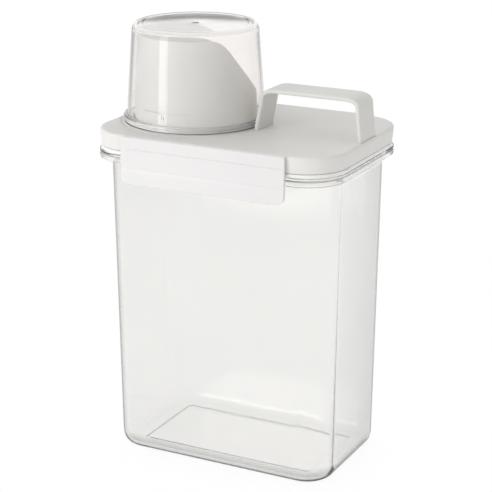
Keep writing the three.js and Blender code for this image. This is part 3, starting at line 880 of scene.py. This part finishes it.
@dataclass
class CupSeal:
    """Silicone ring round the spout's foot, inside the cup's mouth."""

    thickness: float = 2.8 * MM
    notch: float = 0.4 * MM
    notch_half: float = 0.3 * MM
    notch_soft: Pair = (0.3 * MM, 0.2 * MM)
    inner_soft: float = 0.4 * MM
    outer_soft: Pair = (0.5 * MM, 0.6 * MM)
    box: Box = box_field("cup_seal")

    def build(self) -> Piece:
        """Turns the ring's rounded section, with a notch between its two lips."""
        low, high = self.box
        centre, outer = (low.x + high.x) / 2, (high.x - low.x) / 2
        inner, middle = outer - self.thickness, (low.z + high.z) / 2
        mouth_soft, floor_soft = self.notch_soft
        path = [((inner, low.z), self.inner_soft), ((outer, low.z), self.outer_soft[0]),
                ((outer, middle - self.notch_half), mouth_soft),
                ((outer - self.notch, middle), floor_soft),
                ((outer, middle + self.notch_half), mouth_soft),
                ((outer, high.z), self.outer_soft[1]), ((inner, high.z), self.inner_soft)]
        ring = turned(eased(path, True, 4), centre, looped=True)
        return dress(mesh_object("cup_seal_ring", ring), CUP_SEAL_SHADED, "lid_body", "cup_seal")


# ------------------------------------------------------------------ latches


class Side(Enum):
    """Which long side a latch hangs on: its sign along Y."""

    FRONT = -1
    REAR = 1


@dataclass
class Latch:
    """Long flap with a hinge band, a middle band and a flared grip.

    The score is given by half its height and its depth, and the bead by half its height and
    how proud it stands. The crease reaches its depth, then runs out, at the two crease_reach.
    """

    side: Side
    thickness: float = 2.0 * MM
    hinge_band: float = 7.3 * MM
    grip_band: float = 10.6 * MM
    corner: float = 5.0 * MM
    edge: float = 0.55 * MM
    hinge_step: float = 0.15 * MM
    score: Pair = (0.3 * MM, 0.4 * MM)
    flare: float = 0.3 * MM
    crease: float = 0.7 * MM
    crease_reach: Pair = (0.4 * MM, 2.5 * MM)
    grip_thinner: float = 0.3 * MM
    grip_start: float = 2.0 * MM
    bead: Pair = (1.3 * MM, 0.28 * MM)
    bead_below_rim: float = 7.0 * MM
    slices: int = 56
    corner_slices: int = 12
    score_margin: float = 0.05 * MM
    fullest_edge: float = 0.95

    @property
    def node(self) -> str:
        """Name of the CAD node."""
        return f"latch_{self.side.name.lower()}"

    def _faces(self, z: float, low: float, high: float, inner: float, hook: float) -> Pair:
        """How far out the flap's back and front are at a height.

        Args:
            z: The height.
            low: Height of the lower edge.
            high: Height of the hinge line.
            inner: How far out the plain back is.
            hook: Height of the bead on the back.
        """
        above_score, below_crease = z - high + self.hinge_band, low + self.grip_band - z
        score_half, score_depth = self.score
        crease_start, crease_end = self.crease_reach
        bead_half, bead_proud = self.bead
        front, back = inner + self.thickness, inner
        if above_score > 0:
            front -= self.hinge_step
        if abs(above_score) < score_half:
            front -= score_depth
        if below_crease > 0:
            dip = max(0.0, 1 - below_crease / crease_end) * min(1.0, below_crease / crease_start)
            front += self.flare * below_crease / self.grip_band - self.crease * dip
        near_bead = max(0.0, 1 - abs(z - hook) / bead_half)
        back -= bead_proud * min(1.0, 2 * near_bead)
        if below_crease > self.grip_start:
            share = (below_crease - self.grip_start) / (self.grip_band - self.grip_start)
            back += self.grip_thinner * share
        return back, front

    def _heights(self, low: float, high: float, hook: float) -> list[float]:
        """Heights of the flap's rings, with more at its corners, score, crease and bead."""
        score, crease = high - self.hinge_band, low + self.grip_band
        line = self.score[0] + self.score_margin
        heights = {low + (high - low) * i / self.slices for i in range(self.slices + 1)}
        turns = (math.pi / 2 * i / self.corner_slices for i in range(self.corner_slices))
        heights |= {low + self.corner * (1 - math.cos(turn)) for turn in turns}
        heights |= {score - line, score, score + line}
        heights |= {crease - self.crease_reach[1], crease - self.crease_reach[0], crease}
        heights |= {hook + share * self.bead[0] for share in (-1, -0.5, 0.5, 1)}
        return sorted(heights)

    def build(self) -> Piece:
        """Stacks thin rounded rings from the lower edge to the hinge line."""
        low_box, high_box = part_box(self.node)
        low, high, half = low_box.z, high_box.z, high_box.x
        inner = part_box("lid")[1].y + GAP
        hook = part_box("container")[1].z - self.bead_below_rim
        rings = []
        for z in self._heights(low, high, hook):
            back, front = self._faces(z, low, high, inner, hook)
            width = half - quarter_round(self.corner, z - low)
            pinch = quarter_round(self.edge, min(z - low, high - z))
            depth = (front - back) / 2 - pinch
            edge = min(self.edge, depth * self.fullest_edge)
            ring = rounded_ring((width - pinch, depth, edge, z), 5)
            middle = (front + back) / 2
            rings.append([Vector((p.x, p.y + self.side.value * middle, p.z)) for p in ring])
        body = f"{self.side.name.lower()}_latch_body"
        return dress(mesh_object(f"{self.node}_flap", loft(rings)), WHITE_LATCH, body, self.node)


# ------------------------------------------------------------------ measuring cup


@dataclass
class MeasuringCup:
    """Upturned clear cup: collar at the mouth, tapered wall, rounded shoulder, recessed base.

    A mark is given by its two ends in degrees, its height over the mouth and its own height,
    both in millimetres.
    """

    mouth_radius: float = 43.5 * MM
    mouth_soft: float = 0.5 * MM
    base_radius: float = 39.2 * MM
    wall: float = 1.7 * MM
    shoulder: float = 5.5 * MM
    collar_height: float = 4.0 * MM
    collar_soft: Pair = (0.6 * MM, 0.8 * MM)
    recess: float = 0.5 * MM
    recess_from_shoulder: float = 0.4 * MM
    recess_slope: Pair = (0.9 * MM, 1.5 * MM)
    recess_soft: Pair = (0.3 * MM, 0.4 * MM)
    dot: Pair = (2.2 * MM, 1.6 * MM)
    dot_rise: float = 0.35 * MM
    dot_soft: float = 0.2 * MM
    marks: tuple[Station, ...] = ((-107.7, -65.7, 11.7, 0.5), (-66.3, -65.7, 11.2, 3.0),
                                  (-90.2, -88.6, 7.6, 2.0), (-69.3, -68.8, 6.6, 2.4),
                                  (-67.3, -66.8, 6.6, 2.4), (-65.3, -64.8, 6.6, 2.4))
    mark_proud: float = 0.5 * MM
    mark_root: float = 0.5 * MM
    mark_bevel: float = 0.1
    box: Box = box_field("measuring_cup")

    @property
    def lean(self) -> float:
        """How much the wall's radius shrinks per unit of height."""
        return (self.mouth_radius - self.base_radius) / (self.box[1].z - self.box[0].z)

    def _mark(self, centre: float, first: float, last: float, z: float, tall: float) -> Piece:
        """Raised line round part of the wall.

        Args:
            centre: Where the cup's axis stands along X.
            first: Angle that it starts at, in degrees.
            last: Angle that it ends at, in degrees.
            z: Height of its lower edge.
            tall: Its height.
        """
        surface = self.mouth_radius - self.lean * (z - self.box[0].z)
        section = ((-self.mark_root, 0), (self.mark_proud, self.mark_bevel * tall),
                   (self.mark_proud - self.lean * tall, (1 - self.mark_bevel) * tall),
                   (-self.mark_root, tall))
        steps = max(2, round((last - first) / 2))
        rings = []
        for i in range(steps + 1):
            angle = math.radians(first + (last - first) * i / steps)
            out = Vector((math.cos(angle), math.sin(angle), 0))
            rings.append([Vector((centre, 0, z + up)) + out * (surface + reach)
                          for reach, up in section])
        return mesh_object("mark", loft(rings))

    def build(self) -> Piece:
        """Turns the wall's whole section, inside then outside, and adds the raised lines."""
        low, high = self.box
        centre, collar = (low.x + high.x) / 2, (high.x - low.x) / 2
        mouth, base = low.z, high.z
        collar_top, sunk = mouth + self.collar_height, base - self.recess
        at_collar = self.mouth_radius - self.lean * self.collar_height
        flat = self.base_radius - self.shoulder + self.recess_from_shoulder
        path = [
            ((0, base - self.wall), 0),
            ((self.base_radius - self.wall, base - self.wall), self.shoulder - self.wall),
            ((self.mouth_radius - self.wall, mouth), self.mouth_soft),
            ((collar, mouth), self.collar_soft[0]),
            ((collar, collar_top), self.collar_soft[1]),
            ((at_collar, collar_top), self.mouth_soft),
            ((self.base_radius, base), self.shoulder),
            ((flat - self.recess_slope[0], base), self.recess_soft[0]),
            ((flat - self.recess_slope[1], sunk), self.recess_soft[1]),
            ((self.dot[0], sunk), self.dot_soft),
            ((self.dot[1], sunk + self.dot_rise), self.dot_soft),
            ((0, sunk + self.dot_rise), 0),
        ]
        cup = mesh_object("cup_shell", turned(eased(path, steps=8), centre))
        for first, last, up, tall in self.marks:
            cut(cup, self._mark(centre, first, last, mouth + up * MM, tall * MM), "UNION")
        return dress(cup, CLEAR_CUP, "cup_body", "measuring_cup")


# ------------------------------------------------------------------ studio


@dataclass
class Studio:
    """Pale floor, soft lights and the camera.

    Lengths are in metres, apart from the lens and sensor. The floor glows fully over paper_half
    to each side of the line of view, and side_glow as much past twice that.
    """

    azimuth_deg: float = 27.17
    elevation_deg: float = 17.91
    distance: float = 1.0371
    target: Place = (-0.00093, 0.0, 0.13308)
    lens: float = 120.1
    sensor: float = 36.0
    floor_half: float = 6.0
    floor_drop: float = 0.2 * MM
    floor_albedo: float = 0.12
    floor_glow: float = 0.9
    side_glow: float = 0.55
    paper_half: float = 0.42
    horizon: float = 1.0
    zenith: float = 0.8
    zenith_at: float = 0.9
    right_share: float = 0.58
    right_band: Pair = (0.2, 0.9)
    aim_height: float = 0.13

    def _camera(self) -> None:
        """Long lens, level, aimed at the middle of the dispenser."""
        azimuth, elevation = math.radians(self.azimuth_deg), math.radians(self.elevation_deg)
        level = math.cos(elevation)
        out = Vector((math.sin(azimuth) * level, -math.cos(azimuth) * level, math.sin(elevation)))
        data = bpy.data.cameras.new("camera")
        data.lens, data.sensor_width = self.lens, self.sensor
        camera = bpy.data.objects.new("camera", data)
        camera.location = Vector(self.target) + out * self.distance
        camera.rotation_euler = out.to_track_quat("Z", "Y").to_euler()
        bpy.context.scene.collection.objects.link(camera)
        bpy.context.scene.camera = camera

    def _floor(self) -> None:
        """Wide pale floor that mostly lights itself."""
        bm = bmesh.new()
        half = self.floor_half
        corners = [(-half, -half), (half, -half), (half, half), (-half, half)]
        bm.faces.new([bm.verts.new((x, y, -self.floor_drop)) for x, y in corners])
        floor = mesh_object("floor", bm)
        material = bpy.data.materials.new("studio_floor")
        material.use_nodes = True
        shader = material.node_tree.nodes["Principled BSDF"]
        shader.inputs["Base Color"].default_value = (*[self.floor_albedo] * 3, 1)
        shader.inputs["Roughness"].default_value = 0.9
        shader.inputs["Specular IOR Level"].default_value = 0.1
        shader.inputs["Emission Strength"].default_value = self.floor_glow
        self._fade_sideways(material.node_tree, shader)
        floor.data.materials.append(material)

    def _fade_sideways(self, tree: Tree, shader: Node) -> None:
        """Dims the floor to both sides of the way the camera looks."""
        where, turn = tree.nodes.new("ShaderNodeTexCoord"), tree.nodes.new("ShaderNodeMapping")
        turn.inputs["Rotation"].default_value = (0, 0, -math.radians(self.azimuth_deg))
        split = tree.nodes.new("ShaderNodeSeparateXYZ")
        tree.links.new(where.outputs["Object"], turn.inputs["Vector"])
        tree.links.new(turn.outputs["Vector"], split.inputs["Vector"])
        aside = math_node(tree, "ABSOLUTE", split.outputs["X"])
        fade = map_range(tree, aside, self.paper_half, 2 * self.paper_half, 1.0, self.side_glow)
        fade.node.interpolation_type = "SMOOTHSTEP"
        tree.links.new(fade, shader.inputs["Emission Color"])

    def _lamp(self, name: str, place: Place, size: Pair, watts: float) -> None:
        """Soft box aimed at the dispenser."""
        data = bpy.data.lights.new(name, "AREA")
        data.shape, data.size, data.size_y, data.energy = "RECTANGLE", size[0], size[1], watts
        lamp = bpy.data.objects.new(name, data)
        lamp.location = place
        away = Vector(place) - Vector((0, 0, self.aim_height))
        lamp.rotation_euler = away.to_track_quat("Z", "Y").to_euler()
        bpy.context.scene.collection.objects.link(lamp)

    def _surround(self) -> None:
        """Pale surround, a little darker overhead and towards the right end."""
        world = bpy.data.worlds.new("surround")
        world.use_nodes = True
        tree = world.node_tree
        where, split = tree.nodes.new("ShaderNodeTexCoord"), tree.nodes.new("ShaderNodeSeparateXYZ")
        tree.links.new(where.outputs["Generated"], split.inputs["Vector"])
        fade = map_range(tree, split.outputs["Z"], 0.0, self.zenith_at, self.horizon, self.zenith)
        dim = map_range(tree, split.outputs["X"], *self.right_band, 1.0, self.right_share)
        both = math_node(tree, "MULTIPLY", fade, dim)
        tree.links.new(both, tree.nodes["Background"].inputs["Strength"])
        tree.nodes["Background"].inputs["Color"].default_value = (1, 1, 1, 1)
        bpy.context.scene.world = world

    def build(self) -> None:
        """Makes the floor, the lights, the surround and the camera."""
        self._floor()
        self._lamp("strip_box", place=(-0.85, -1.45, 0.65), size=(0.52, 1.3), watts=7.4)
        self._lamp("key_box", place=(-1.4, -1.15, 0.6), size=(1.0, 1.0), watts=0.6)
        self._surround()
        bpy.context.scene.view_settings.view_transform = "Standard"
        self._camera()


def main() -> None:
    """Builds every piece, then the studio."""
    logging.basicConfig(level=logging.INFO, format="%(name)s: %(message)s")
    Container().build()
    lid = Lid()
    lid.build()
    latches = [Latch(side) for side in Side]
    for part in (Gasket(lid), Handle(), Spout(), CupSeal(), *latches, MeasuringCup()):
        part.build()
    Studio().build()


if __name__ == "__main__":
    main()
